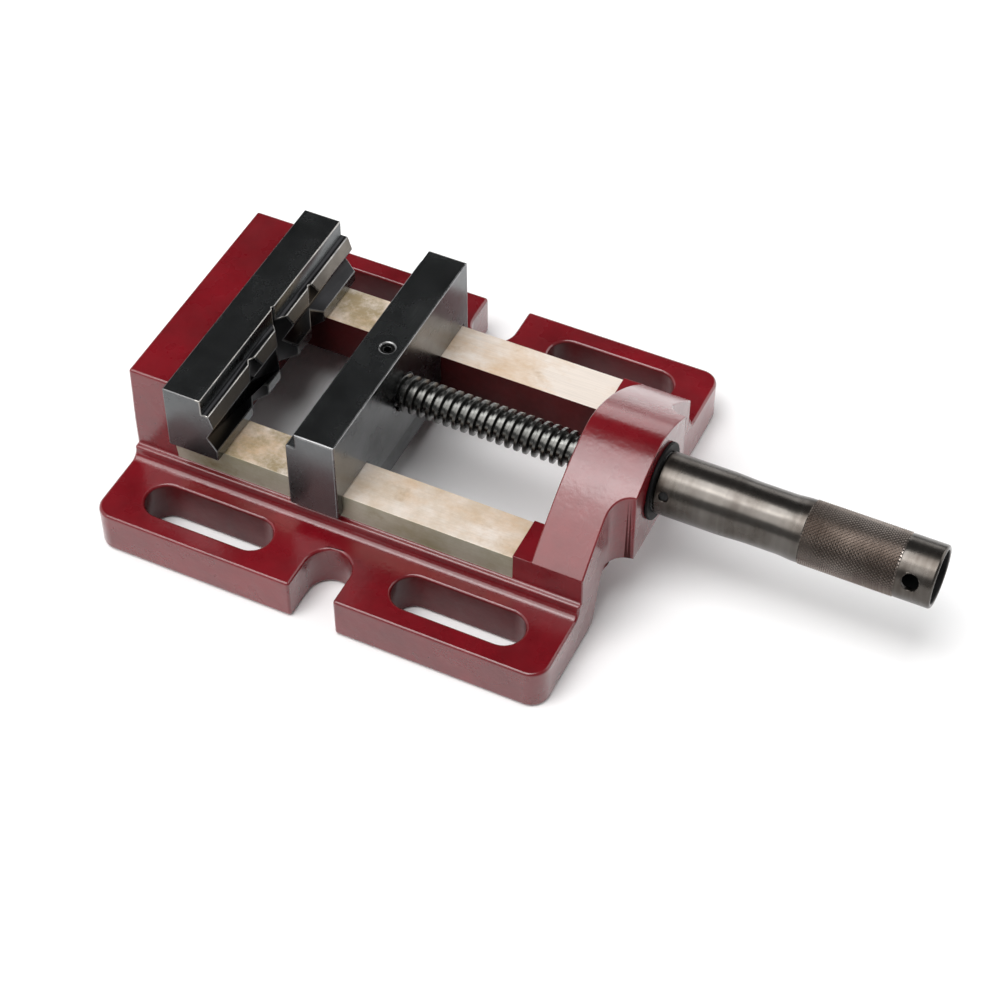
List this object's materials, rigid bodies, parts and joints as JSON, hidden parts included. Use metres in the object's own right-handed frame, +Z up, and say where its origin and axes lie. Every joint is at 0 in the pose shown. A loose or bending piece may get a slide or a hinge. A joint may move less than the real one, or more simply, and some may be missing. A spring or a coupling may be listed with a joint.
{
  "type": "drill press machine vise",
  "caption": "Low machine vise with slotted cast base, stepped grooved fixed jaw, sliding jaw, non-turning drive rod and a tubular knurled handle.",
  "frame": {"origin": "centre of the four table slots, on the underside of the base", "axes": "+X from the fixed jaw towards the handle, along the drive axis; +Y across the jaws; +Z up from the table"},
  "size_m": [0.3307, 0.185, 0.0705],
  "materials": {
    "casting_enamel": "gloss red enamel over cast iron, ways machined bare",
    "fixed_jaw_black": "ground steel, oiled black oxide",
    "cap_screw_black": "black oxide",
    "spring_steel": "plain spring steel",
    "dowel_steel": "ground and hardened",
    "moving_jaw_black": "ground steel, oiled black oxide",
    "keeper_black": "black oxide",
    "keeper_screw_black": "black oxide",
    "keeper_washer_steel": "plain spring steel",
    "lock_screw_steel": "bright steel",
    "rod_steel": "rolled trapezoidal thread, oiled black",
    "bush_bronze": "sintered bronze",
    "nut_steel": "turned, oiled black",
    "inner_washer_bronze": "bronze",
    "outer_washer_black": "black oxide",
    "sleeve_steel": "turned and knurled, gunmetal black oxide",
    "pin_steel": "plain steel"
  },
  "bodies": {
    "base": {"base_casting": "casting_enamel", "fixed_jaw_plate": "fixed_jaw_black", "fixed_jaw_screws": "cap_screw_black", "fixed_jaw_spring_washers": "spring_steel", "fixed_jaw_dowels": "dowel_steel", "hub_bush": "bush_bronze"},
    "jaw_carriage": {"moving_jaw": "moving_jaw_black", "keeper_plate": "keeper_black", "keeper_screws": "keeper_screw_black", "keeper_spring_washers": "keeper_washer_steel", "jaw_lock_screw": "lock_screw_steel", "drive_rod": "rod_steel"},
    "handle": {"handle_sleeve": "sleeve_steel", "drive_nut": "nut_steel", "handle_pins": "pin_steel", "inner_thrust_washer": "inner_washer_bronze", "outer_thrust_washer": "outer_washer_black"}
  },
  "joints": [
    {"name": "handle_spin", "type": "hinge", "parent": "base", "child": "handle", "pos_m": [0, 0, 0.048], "axis": [1, 0, 0], "range_deg": [-2907, 5670]},
    {"name": "jaw_slide", "type": "slide", "parent": "base", "child": "jaw_carriage", "axis": [1, 0, 0], "range_m": [-0.0324, 0.0635]}
  ],
  "couplings": [
    {"joint": "jaw_slide", "follows": "handle_spin", "m_per_rad": 0.00063662}
  ]
}
